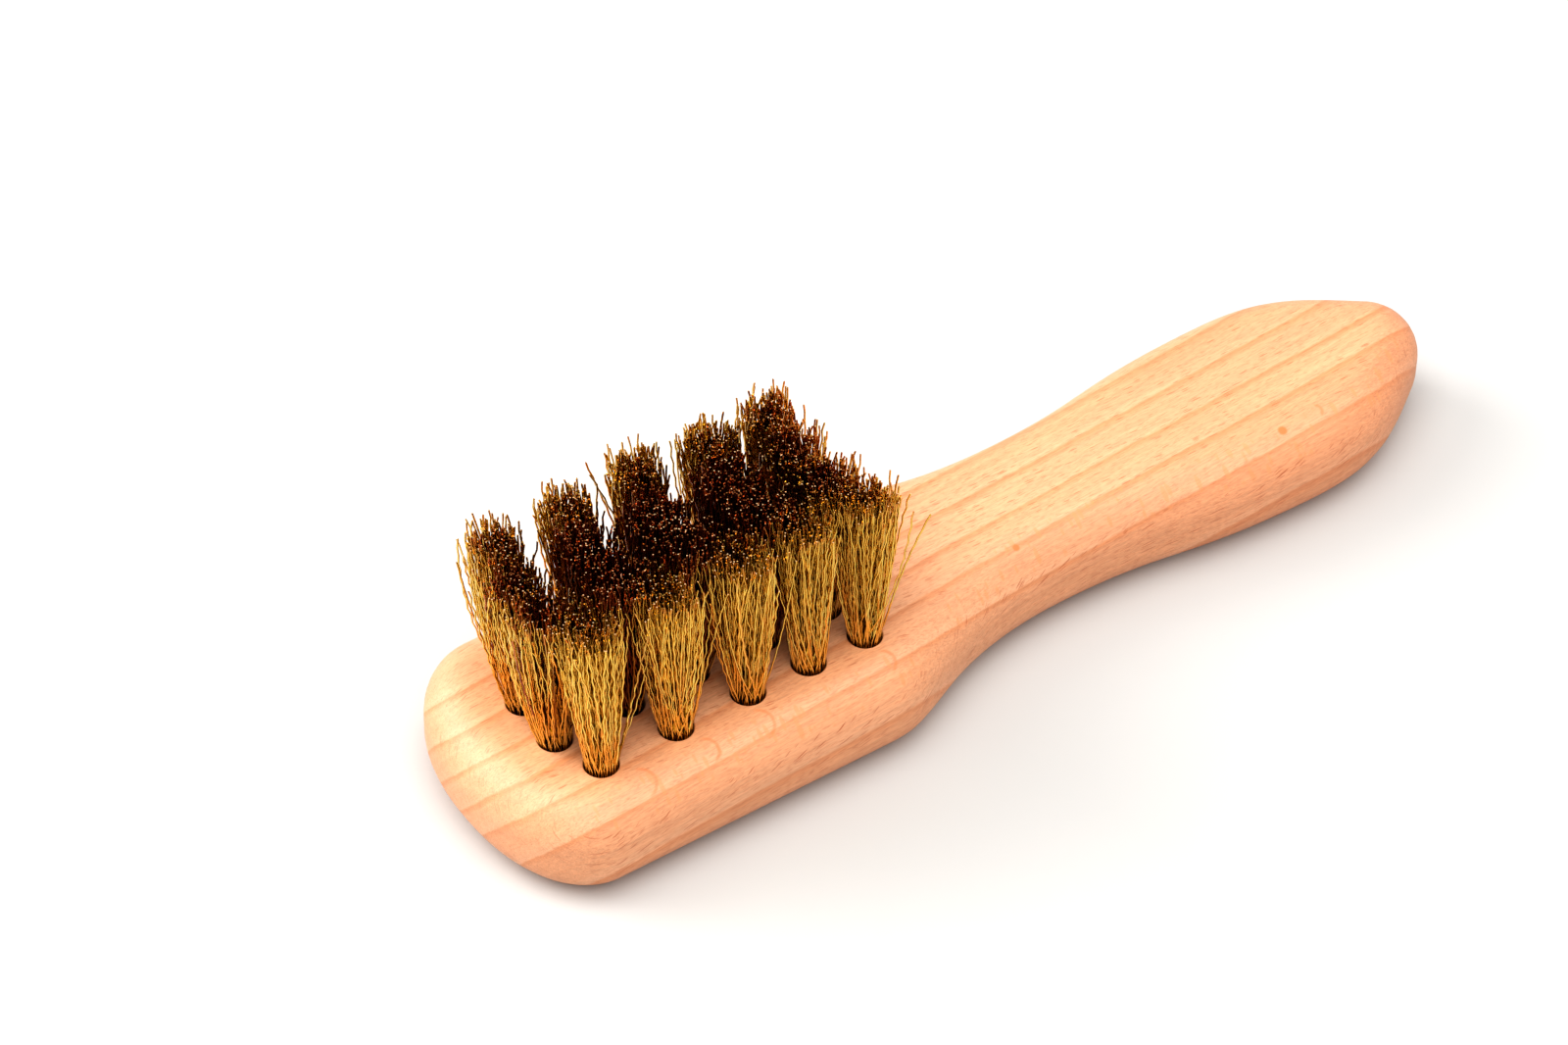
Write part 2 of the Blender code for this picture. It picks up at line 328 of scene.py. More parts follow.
@dataclass(frozen=True)
class BeechFinish:
    """Oiled beech with its grain along the brush. Places and lengths are in millimetres.

    The annual rings bend round a pith that lies far off to the near side and below. The rays
    are thin plates that run from the pith outwards, so they show as dashes on most faces and
    as broad flecks where a face runs along them.
    """

    pith: Pair = (-108.26, -66.19)
    pith_slope: Pair = (0.017, 0.053)
    pith_bend: Pair = (0.00029, -0.00033)
    middle_radius: float = 130.0
    years: tuple[Pair, ...] = (
        (117.6, 0.5), (123.66, 0.5), (128.67, 0.42), (132.48, 0.3),
        (136.67, 0.3), (140.9, 0.36), (145.2, 0.36),
    )
    ring_span: Pair = (112.0, 150.0)
    year_steps: tuple[float, float, float, float] = (-0.9, -0.1, 0.12, 1.4)
    year_ends: Pair = (0.92, 0.06)
    year_start: float = 0.75
    wave: Noise = Noise((0.05, 0.08, 0.16))
    wave_swing: float = 0.9
    ripple: Noise = Noise((0.35, 0.5, 1.4))
    ripple_swing: float = 0.22
    line: Noise = Noise((0.01, 2.6, 0.03), 3.0, 0.6)
    line_swing: float = 0.5
    early: Colour = (0.73, 0.397, 0.236)
    late: Colour = (0.62, 0.262, 0.12)
    deeper: Colour = (0.98, 0.93, 0.91)
    deeper_span: Pair = (-5.0, 50.0)
    mottle_scale: Triple = (0.03, 0.3, 0.12)
    mottle_strength: float = 0.2
    fibre: Noise = Noise((0.35, 6.0, 6.0), 3.0, 0.65)
    fibre_weight: float = 0.55
    streak: Noise = Noise((0.06, 1.6, 1.6), 2.0, 0.6)
    streak_weight: float = 0.30
    grain_base: float = 0.575
    fleck: Colour = (0.44, 0.13, 0.05)
    pore: Noise = Noise((0.9, 7.0, 7.0), 2.0, 0.6)
    pore_span: Pair = (0.5, 0.8)
    pore_weight: float = 0.55
    pore_roughness: float = 0.12
    pore_depth: float = 0.4
    roughness: float = 0.5
    relief: float = 0.2
    relief_depth: float = 0.00004
    top_rays: Rays = Rays((2.0, 2.2, 0.10), 0.6, 0.46, 0.75, fleck)
    side_rays: Rays = Rays((1.6, 1.8, 0.10), 0.58, 0.46, 0.65, fleck)
    long_rays: Rays = Rays((3.2, 2.8, 0.13), 0.62, 0.46, 0.9, fleck)
    broad_rays: Rays = Rays((0.8, 2.6, 1.6), 0.0, 0.54, 0.5, (0.66, 0.29, 0.12))
    ray_edge: float = 0.12
    ray_climb: float = 0.2
    ray_facing: Triple = (0.0, -0.6, 0.8)
    facing_span: Pair = (0.88, 0.95)
    flat_span: Pair = (0.6, 0.85)
    end_span: Pair = (0.15, 0.6)
    end_share: float = 0.4
    mark: Colour = (0.70, 0.21, 0.07)
    marks: tuple[tuple[float, float, float, float], ...] = (
        (44.0, -9.8, 14.2, 0.8),
        (4.2, -7.8, 14.0, 0.6),
    )
    arcs: tuple[tuple[float, float, float, float], ...] = (
        (-55.8, -14.9, 14.0, 1.9), (-46.6, -14.9, 14.1, 1.7), (-38.9, -14.8, 14.1, 2.0),
        (-20.5, -14.7, 14.1, 1.5), (5.0, -12.0, 13.9, 1.3), (49.6, -9.4, 14.3, 0.8),
    )
    arc_edges: Pair = (0.35, 0.05)
    arc_weight: float = 0.5
    arc_start: float = 0.1
    arc_share: float = 0.6

    def build(self, mottle: bpy.types.NodeTree) -> Material:
        """Builds the wood's material.

        Args:
            mottle: The group for uneven tone.

        Returns:
            The material.
        """
        material, wiring, shader = start_material("oiled_beech")
        coordinates = wiring.add("ShaderNodeTexCoord").outputs
        place = wiring.scaled(coordinates[Coordinate.OBJECT.value], (MILLIMETRES,) * 3)
        wood = self.log_place(wiring, place)
        rays = self.rays(wiring, wood, coordinates[Coordinate.NORMAL.value])
        pores = wiring.range(wiring.noise(wood, self.pore), *self.pore_span)
        colour = self.grain(wiring, wood, wiring.split(place)[0], mottle)
        colour = wiring.blend(pores, self.pore_weight, colour, self.fleck)
        for kind, mask in rays.items():
            colour = wiring.blend(mask, kind.weight, colour, kind.colour)
        for mask in (self.marked(wiring, place), self.bowed(wiring, place)):
            colour = wiring.mix(mask, colour, (*self.mark, 1))
        rough = wiring.math("MULTIPLY_ADD", pores, self.pore_roughness, self.roughness)
        depth = wiring.math("MULTIPLY_ADD", pores, self.pore_depth, rays[self.long_rays])
        height = wiring.math("SUBTRACT", 1.0, depth)
        values = {"Height": height, "Strength": self.relief, "Distance": self.relief_depth}
        bump = wiring.add("ShaderNodeBump", values).outputs[0]
        wiring.feed(shader, {"Base Color": colour, "Roughness": rough, "Normal": bump})
        return material

    def log_place(self, wiring: Wiring, place: Socket) -> Socket:
        """Turns a place in the brush into a place in the log.

        Args:
            wiring: The material's wiring.
            place: The place in the brush, in millimetres.

        Returns:
            Along the grain, out from the pith, and round the pith.
        """
        along, *sides = wiring.split(place)
        across = []
        for axis, start, slope, bend in zip(sides, self.pith, self.pith_slope, self.pith_bend):
            rate = wiring.math("MULTIPLY_ADD", along, bend, slope)
            middle = wiring.math("MULTIPLY_ADD", rate, along, start)
            across.append(wiring.math("SUBTRACT", axis, middle))
        radius = wiring.measure("LENGTH", wiring.join(0.0, *across))
        turn = wiring.math("ARCTAN2", across[1], across[0])
        return wiring.join(along, radius, wiring.math("MULTIPLY", turn, self.middle_radius))

    def grain(
        self, wiring: Wiring, wood: Socket, along: Socket, mottle: bpy.types.NodeTree
    ) -> Socket:
        """Builds the wood's colour without its pores and rays.

        Args:
            wiring: The material's wiring.
            wood: The place in the log.
            along: The place along the brush, in millimetres.
            mottle: The group for uneven tone.

        Returns:
            The colour.
        """
        stretched = wiring.scaled(wood, self.mottle_scale)
        tone = wiring.mottle(mottle, stretched, self.mottle_strength)
        colour = wiring.mix(self.rings(wiring, wood), (*self.early, 1), (*self.late, 1))
        colour = wiring.mix(1.0, colour, tone, "MULTIPLY")
        fibres = wiring.math("MULTIPLY", wiring.noise(wood, self.fibre), self.fibre_weight)
        streaks = wiring.math("MULTIPLY", wiring.noise(wood, self.streak), self.streak_weight)
        shade = wiring.math("ADD", wiring.math("ADD", fibres, streaks), self.grain_base)
        colour = wiring.mix(1.0, colour, shade, "MULTIPLY")
        deeper = wiring.mix(1.0, colour, (*self.deeper, 1), "MULTIPLY")
        return wiring.mix(wiring.range(along, *self.deeper_span, soft=True), colour, deeper)

    def rings(self, wiring: Wiring, wood: Socket) -> Socket:
        """Builds the annual rings.

        Args:
            wiring: The material's wiring.
            wood: The place in the log.

        Returns:
            A mask, 0 in the early wood and 1 at the end of each year.
        """
        radius = wiring.split(wood)[1]
        for noise, swing in ((self.wave, self.wave_swing), (self.ripple, self.ripple_swing)):
            centred = wiring.math("SUBTRACT", wiring.noise(wood, noise), 0.5)
            radius = wiring.math("MULTIPLY_ADD", centred, swing, radius)
        low, high = self.ring_span
        greys = [grey for _, grey in self.years]
        stops = []
        for (edge, grey), following in zip(self.years, greys[1:] + greys[-1:]):
            tones = (grey, *self.year_ends, following * self.year_start)
            for step, tone in zip(self.year_steps, tones):
                stops.append(((edge + step - low) / (high - low), tone))
        years = wiring.ramp(wiring.range(radius, low, high), stops)
        lines = wiring.math("SUBTRACT", wiring.noise(wood, self.line), 0.5)
        return wiring.math("MULTIPLY_ADD", lines, self.line_swing, years, clamp=True)

    def rays(self, wiring: Wiring, wood: Socket, normal: Socket) -> dict[Rays, Socket]:
        """Builds the rays of every size, each on the faces that cut them so.

        Args:
            wiring: The material's wiring.
            wood: The place in the log.
            normal: The surface's normal.

        Returns:
            The mask of each kind of rays.
        """
        on_top, on_side, facing = self.faces(wiring, normal)
        leaning = self.leaning_place(wiring, wood)
        kinds = (
            (self.top_rays, wood, on_top),
            (self.side_rays, leaning, on_side),
            (self.long_rays, leaning, on_side),
            (self.broad_rays, wood, facing),
        )
        return {
            kind: wiring.math("MULTIPLY", self.flecks(wiring, place, kind), faces)
            for kind, place, faces in kinds
        }

    def flecks(self, wiring: Wiring, place: Socket, kind: Rays) -> Socket:
        """Builds rays of one size.

        Args:
            wiring: The material's wiring.
            place: The place in the log.
            kind: The rays' size.

        Returns:
            The rays' mask.
        """
        room = wiring.scaled(place, tuple(1 / length for length in kind.room))
        cells = wiring.add("ShaderNodeTexVoronoi", {"Vector": room, "Scale": 1.0}).outputs
        chance = wiring.add("ShaderNodeSeparateColor", (cells["Color"],)).outputs[0]
        own_reach = wiring.range(chance, kind.rare, 1.0, 0.0, kind.reach)
        inside = wiring.math("SUBTRACT", own_reach, cells["Distance"])
        return wiring.range(inside, 0.0, self.ray_edge, soft=True)

    def faces(self, wiring: Wiring, normal: Socket) -> tuple[Socket, Socket, Socket]:
        """Sorts the surface by the way that it cuts the rays.

        Args:
            wiring: The material's wiring.
            normal: The surface's normal.

        Returns:
            The masks of the flat faces, of the sides, and of what runs along the rays.
        """
        turn = wiring.math("ABSOLUTE", wiring.measure("DOT_PRODUCT", normal, self.ray_facing))
        facing = wiring.range(turn, *self.facing_span, soft=True)
        toward_end, _, level = (wiring.math("ABSOLUTE", axis) for axis in wiring.split(normal))
        side = wiring.range(toward_end, *self.end_span, 1.0, self.end_share, soft=True)
        across = wiring.math("MULTIPLY", wiring.math("SUBTRACT", 1.0, facing), side)
        flat = wiring.math("MULTIPLY", wiring.range(level, *self.flat_span, soft=True), across)
        return flat, wiring.math("SUBTRACT", across, flat), facing

    def leaning_place(self, wiring: Wiring, wood: Socket) -> Socket:
        """Tilts a place in the log, as the fibres climb along the sides, and returns it."""
        along, out, around = wiring.split(wood)
        return wiring.join(along, out, wiring.math("MULTIPLY_ADD", along, -self.ray_climb, around))

    def marked(self, wiring: Wiring, place: Socket) -> Socket:
        """Builds the few orange spots on the near edge.

        Args:
            wiring: The material's wiring.
            place: The place in the brush, in millimetres.

        Returns:
            The spots' mask.
        """
        spots = []
        for *centre, reach in self.marks:
            distance = wiring.measure("DISTANCE", place, centre)
            spots.append(wiring.range(distance, reach, reach / 2, soft=True))
        return wiring.most(spots)

    def bowed(self, wiring: Wiring, place: Socket) -> Socket:
        """Builds the thin arcs of cut rays on the near edge.

        Args:
            wiring: The material's wiring.
            place: The place in the brush, in millimetres.

        Returns:
            The arcs' mask.
        """
        along = wiring.split(place)[0]
        arcs = []
        for *centre, reach in self.arcs:
            distance = wiring.measure("DISTANCE", place, centre)
            aside = wiring.math("ABSOLUTE", wiring.math("SUBTRACT", distance, reach))
            line = wiring.range(aside, *self.arc_edges, 0.0, self.arc_weight, soft=True)
            start, full = centre[0] + self.arc_start, centre[0] + reach * self.arc_share
            arcs.append(wiring.math("MULTIPLY", line, wiring.range(along, start, full, soft=True)))
        return wiring.most(arcs)


@dataclass(frozen=True)
class WireFinish:
    """Bright drawn brass wire, paler near the wood, each wire with its own painted shade; painted
    shade also darkens and reddens the tips, and a share of the cut ends take a painted glint,
    partly the paler fresh-cut metal.
    """

    low: Colour = (0.97, 0.78, 0.29)
    bright: Colour = (1.0, 0.675, 0.175)
    low_heights: Pair = (0.0145, 0.0250)
    # Painted shade: the colour that wires standing deep in their tuft are darkened toward.
    painted_shade: Colour = (0.32, 0.105, 0.052)
    # Painted shade toward the tips: the wires darken and redden near their ends, from lower down on
    # wires with more painted shade.
    tip_shade: Colour = (0.70, 0.25, 0.08)
    tip_shade_heights: Pair = (0.0357, 0.0381)
    tip_shade_weight: float = 0.8
    shade_lift: float = 0.0040
    mottle_scale: float = 900.0
    mottle_strength: float = 0.5
    roughness: float = 0.12
    shade_roughness: float = 0.1
    # A pale colour on a share of the cut ends: a painted glint, partly the paler fresh-cut metal.
    cut_end_glint: Colour = (0.98, 0.71, 0.43)
    cut_roughness: float = 0.5
    shade_attribute: str = "shade"
    cut_attribute: str = "cut"

    def build(self, mottle: bpy.types.NodeTree) -> Material:
        """Builds the wire's material.

        Args:
            mottle: The group for uneven tone.

        Returns:
            The material.
        """
        material, wiring, shader = start_material("drawn_brass_wire")
        point = wiring.add("ShaderNodeTexCoord").outputs[Coordinate.OBJECT.value]
        shade = wiring.attribute(self.shade_attribute)
        tone = wiring.mottle(mottle, point, self.mottle_strength, self.mottle_scale)
        height = wiring.split(point)[2]
        climb = wiring.range(height, *self.low_heights)
        colour = wiring.mix(climb, (*self.low, 1), (*self.bright, 1))
        # Painted shade, by how deep the wire stands in its tuft and how sheltered its side is.
        colour = wiring.mix(shade, colour, (*self.painted_shade, 1))
        colour = wiring.mix(1.0, colour, tone, "MULTIPLY")
        # Painted shade toward the tips, starting lower on wires with more painted shade.
        height = wiring.math("MULTIPLY_ADD", shade, self.shade_lift, height)
        tip_shaded = wiring.range(height, *self.tip_shade_heights, 0.0, self.tip_shade_weight, soft=True)
        colour = wiring.mix(tip_shaded, colour, (*self.tip_shade, 1))
        # Painted glint on a share of the cut ends, partly the paler fresh-cut metal.
        cut = wiring.attribute(self.cut_attribute)
        colour = wiring.mix(cut, colour, (*self.cut_end_glint, 1))
        drawn = wiring.math("MULTIPLY_ADD", shade, self.shade_roughness, self.roughness)
        rough = wiring.range(cut, 0.0, 1.0, drawn, self.cut_roughness)
        wiring.feed(shader, {"Base Color": colour, "Roughness": rough, "Metallic": 1.0})
        return material


@dataclass(frozen=True)
class SteelFinish:
    """Plain flat wire of the anchors, hidden in the wood."""

    colour: Colour = (0.55, 0.55, 0.56)
    mottle_scale: Triple = (300.0, 4000.0, 4000.0)
    mottle_strength: float = 0.3
    roughness: float = 0.38

    def build(self, mottle: bpy.types.NodeTree) -> Material:
        """Builds the steel's material.

        Args:
            mottle: The group for uneven tone.

        Returns:
            The material.
        """
        material, wiring, shader = start_material("flat_steel_wire")
        point = wiring.add("ShaderNodeTexCoord").outputs[Coordinate.OBJECT.value]
        stretched = wiring.scaled(point, self.mottle_scale)
        tone = wiring.mottle(mottle, stretched, self.mottle_strength)
        colour = wiring.mix(1.0, (*self.colour, 1), tone, "MULTIPLY")
        rough = wiring.math("MULTIPLY", tone, self.roughness)
        wiring.feed(shader, {"Base Color": colour, "Roughness": rough, "Metallic": 1.0})
        return material


@dataclass(frozen=True)
class FloorFinish:
    """Plain white paper."""

    colour: Colour = (0.55, 0.54, 0.525)
    roughness: float = 0.9
    specular: float = 0.2

    def build(self) -> Material:
        """Builds the floor's material.

        Returns:
            The material.
        """
        material, wiring, shader = start_material("white_floor")
        wiring.feed(shader, {"Base Color": (*self.colour, 1), "Roughness": self.roughness})
        wiring.feed(shader, {"Specular IOR Level": self.specular})
        return material


@dataclass
class BeechBody:
    """The one-piece body: a flat head that narrows to a waist and swells to a pointed grip."""

    thickness: float = 0.0145
    head_width: float = 0.0374
    neck_width: float = 0.0219
    grip_width: float = 0.0278
    edge_radius: float = 0.006
    head_corner_length: float = 0.0115
    head_side_length: float = 0.040
    shoulder_length: float = 0.0317
    grip_rise_length: float = 0.0368
    grip_end_length: float = 0.024
    tip_radius: float = 0.007
    tip_angle: float = math.radians(54)
    head_end_shares: Pair = (0.73, 0.38)
    shoulder_shares: Pair = (0.16, 0.65)
    waist_shares: Pair = (0.47, 0.54)
    grip_end_shares: Pair = (0.48, 0.45)
    hole_diameter: float = 0.0044
    hole_depth: float = 0.009
    mouth_chamfer: float = 0.00012
    drill_point_angle: float = math.radians(118)
    pocket_gap: float = 0.0003
    ring_step: float = 0.0008
    edge_steps: int = 9
    bezier_steps: int = 64
    hole_steps: int = 32
    face_margin: float = 0.0006
    sharp_angle: float = math.radians(25)

    @property
    def length(self) -> float:
        """Length from the head's end to the grip's tip."""
        head = self.head_corner_length + self.head_side_length
        return head + self.shoulder_length + self.grip_rise_length + self.grip_end_length

    @property
    def head_end(self) -> float:
        """Place of the head's end along X."""
        return -self.length / 2

    def knots(self) -> list[tuple[Vector, Vector, Vector]]:
        """Works out the knots of the flat face's edge, from the head's end to the tip.

        Returns:
            Each knot's place, and the offsets of the handles before and after it.
        """
        radius = self.edge_radius
        head_half, neck_half, grip_half = (
            width / 2 - radius for width in (self.head_width, self.neck_width, self.grip_width)
        )
        along, out = Vector((1, 0, 0)), Vector((0, 1, 0))
        start = Vector((self.head_end + radius, 0, 0))
        corner = Vector((self.head_end + self.head_corner_length, head_half, 0))
        shoulder = Vector((corner.x + self.head_side_length, head_half, 0))
        neck = Vector((shoulder.x + self.shoulder_length, neck_half, 0))
        grip = Vector((neck.x + self.grip_rise_length, grip_half, 0))
        end = Vector((grip.x + self.grip_end_length - radius, 0, 0))
        end_radius = self.tip_radius - radius
        outward = heading(self.tip_angle)
        taper = Vector((outward.y, -outward.x, 0))
        flank = end + end_radius * (outward - along)
        # A Bezier curve with handles of this length follows the arc of the tip.
        arc_handle = 4 / 3 * math.tan(self.tip_angle / 4) * end_radius
        side = (shoulder.x - corner.x) / 3
        narrowing, rise, run = neck.x - shoulder.x, grip.x - neck.x, flank.x - grip.x
        end_out = self.head_end_shares[0] * head_half * out
        corner_back = self.head_end_shares[1] * (corner.x - start.x) * along
        return [
            (start, -end_out, end_out),
            (corner, -corner_back, side * along),
            (shoulder, -side * along, self.shoulder_shares[0] * narrowing * along),
            (
                neck,
                -self.shoulder_shares[1] * narrowing * along,
                self.waist_shares[0] * rise * along,
            ),
            (grip, -self.waist_shares[1] * rise * along, self.grip_end_shares[0] * run * along),
            (flank, -self.grip_end_shares[1] * run * taper, arc_handle * taper),
            (end, arc_handle * out, -arc_handle * out),
        ]

    def half_outline(self) -> list[tuple[Vector, Vector]]:
        """Follows half of the face's edge in even steps of the outer edge.

        Returns:
            Points from the head's end to the tip, each with its outward direction.
        """
        knots = self.knots()
        dense: list[Vector] = []
        for (first, _, leave), (second, arrive, _) in zip(knots, knots[1:]):
            handles = (first + leave, second + arrive)
            points = interpolate_bezier(first, *handles, second, self.bezier_steps)
            dense += points if not dense else points[1:]
        tangents = [after - before for before, after in zip(dense, dense[1:])]
        middle = [(before + after).normalized() for before, after in zip(tangents, tangents[1:])]
        middle = [Vector((0, 1, 0)), *middle, Vector((0, -1, 0))]
        outward = [Vector((-tangent.y, tangent.x, 0)) for tangent in middle]
        outer = [point + self.edge_radius * way for point, way in zip(dense, outward)]
        run = [0.0]
        for before, after in zip(outer, outer[1:]):
            run.append(run[-1] + (after - before).length)
        count = round(run[-1] / self.ring_step)
        result: list[tuple[Vector, Vector]] = []
        index = 0
        for step in range(count + 1):
            target = run[-1] * step / count
            while index < len(run) - 2 and run[index + 1] < target:
                index += 1
            share = min(1.0, (target - run[index]) / (run[index + 1] - run[index]))
            way = outward[index].lerp(outward[index + 1], share).normalized()
            result.append((dense[index].lerp(dense[index + 1], share), way))
        return result

    def outline(self) -> list[tuple[Vector, Vector]]:
        """Closes the half outline with its mirror image.

        Returns:
            Points all round the face's edge, each with its outward direction.
        """
        half = self.half_outline()
        flip = Vector((1, -1, 1))
        mirrored = [(point * flip, way * flip) for point, way in reversed(half[1:-1])]
        return half + mirrored

    def levels(self) -> list[Pair]:
        """Lists the rings of the rounded side, from the top face to the back.

        Returns:
            Each ring's distance outside the face's edge, and its height.
        """
        radius = self.edge_radius
        turns = [math.pi / 2 * step / self.edge_steps for step in range(self.edge_steps + 1)]
        upper = [
            (radius * math.sin(turn), self.thickness - radius * (1 - math.cos(turn)))
            for turn in turns
        ]
        lower = [(out, self.thickness - height) for out, height in reversed(upper)]
        return upper + lower

    def blank(self) -> BMesh:
        """Shapes the body without its holes, ring by ring.

        Returns:
            The closed shape.
        """
        bm = bmesh.new()
        outline = self.outline()
        rings: list[list[bmesh.types.BMEdge]] = []
        for out, height in self.levels():
            circle = bmesh.ops.create_circle(bm, segments=len(outline), radius=self.head_width)
            ring = circle["verts"]
            for vert, (point, way) in zip(ring, outline):
                vert.co = point + out * way + Vector((0, 0, height))
            rings.append(list({edge for vert in ring for edge in vert.link_edges}))
        for upper, lower in zip(rings, rings[1:]):
            bmesh.ops.bridge_loops(bm, edges=upper + lower)
        for ring in (rings[0], rings[-1]):
            face = bmesh.ops.contextual_create(bm, geom=ring)["faces"]
            bmesh.ops.inset_region(bm, faces=face, thickness=self.face_margin)
        bmesh.ops.recalc_face_normals(bm, faces=bm.faces)
        return bm

    def drills(self, places: dict[str, Vector]) -> bpy.types.Object:
        """Makes the forms that a drill and its countersink leave in the holes.

        Args:
            places: Each hole's name and centre in the top face.

        Returns:
            The cutter.
        """
        radius, chamfer = self.hole_diameter / 2, self.mouth_chamfer
        point_height = radius / math.tan(self.drill_point_angle / 2)
        corners = (
            (0.0, OVERRUN),
            (radius + chamfer + OVERRUN, OVERRUN),
            (radius, -chamfer),
            (radius, -self.hole_depth),
            (0.0, -self.hole_depth - point_height),
        )
        bm = bmesh.new()
        for place in places.values():
            profile = [bm.verts.new(place + Vector((out, 0, height))) for out, height in corners]
            edges = [bm.edges.new(pair) for pair in zip(profile, profile[1:])]
            bmesh.ops.spin(
                bm, geom=profile + edges, cent=place, axis=(0, 0, 1), angle=math.tau,
                steps=self.hole_steps, use_merge=True,
            )
        bmesh.ops.remove_doubles(bm, verts=bm.verts, dist=MERGE_DISTANCE)
        bmesh.ops.recalc_face_normals(bm, faces=bm.faces)
        return new_piece("drills", bm)

    def pockets(self, places: dict[str, Vector]) -> bpy.types.Object:
        """Makes the slots that the anchors are pressed into.

        Args:
            places: Each hole's name and centre in the top face.

        Returns:
            The cutter.
        """
        bm = bmesh.new()
        for name in places:
            low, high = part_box(f"anchor_{name}")
            size = high - low + Vector((1, 1, 1)) * 2 * self.pocket_gap
            matrix = Matrix.Translation((low + high) / 2) @ Matrix.Diagonal((*size, 1))
            bmesh.ops.create_cube(bm, size=1, matrix=matrix)
        return new_piece("pockets", bm)

    def build(self, places: dict[str, Vector], material: Material) -> None:
        """Builds the drilled body and puts it in place of its CAD node.

        Args:
            places: Each hole's name and centre in the top face.
            material: The wood's finish.
        """
        piece = new_piece("shaped_beech_body", self.blank(), material)
        cutters = [self.drills(places), self.pockets(places)]
        for cutter in cutters:
            modifier = piece.modifiers.new(cutter.name, "BOOLEAN")
            modifier.operation = "DIFFERENCE"
            modifier.solver = "EXACT"
            modifier.object = cutter
        bpy.context.view_layer.update()
        graph = bpy.context.evaluated_depsgraph_get()
        cut = bpy.data.meshes.new_from_object(piece.evaluated_get(graph))
        piece.modifiers.clear()
        for cutter in cutters:
            bpy.data.objects.remove(cutter)
        bm = bmesh.new()
        bm.from_mesh(cut)
        bmesh.ops.remove_doubles(bm, verts=bm.verts, dist=MERGE_DISTANCE)
        smooth_by_angle(bm, self.sharp_angle)
        bm.to_mesh(piece.data)
        bm.free()
        piece.data.update()
        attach(piece, ROOT_BODY)
        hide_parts("beech_body")
        report(piece)


@dataclass(frozen=True)
class RowPlan:
    """One row of tufts: where it is drilled, how its wires stand, and how much painted shade they
    take.
    """

    row: Row
    offset: float
    start: float
    length: float
    shares: tuple[float, ...]
    lean: Pair = (0.0, 0.0)
    fan: float = 0.0007
    spread: float = 1.0
    drop: float = 0.0
    # The shelters and the deepest value set how much painted shade the row's wires take.
    shelter: float = 0.0
    end_shelter: float = -0.6
    far_shelter: float = 0.0
    deepest: float = 1.0


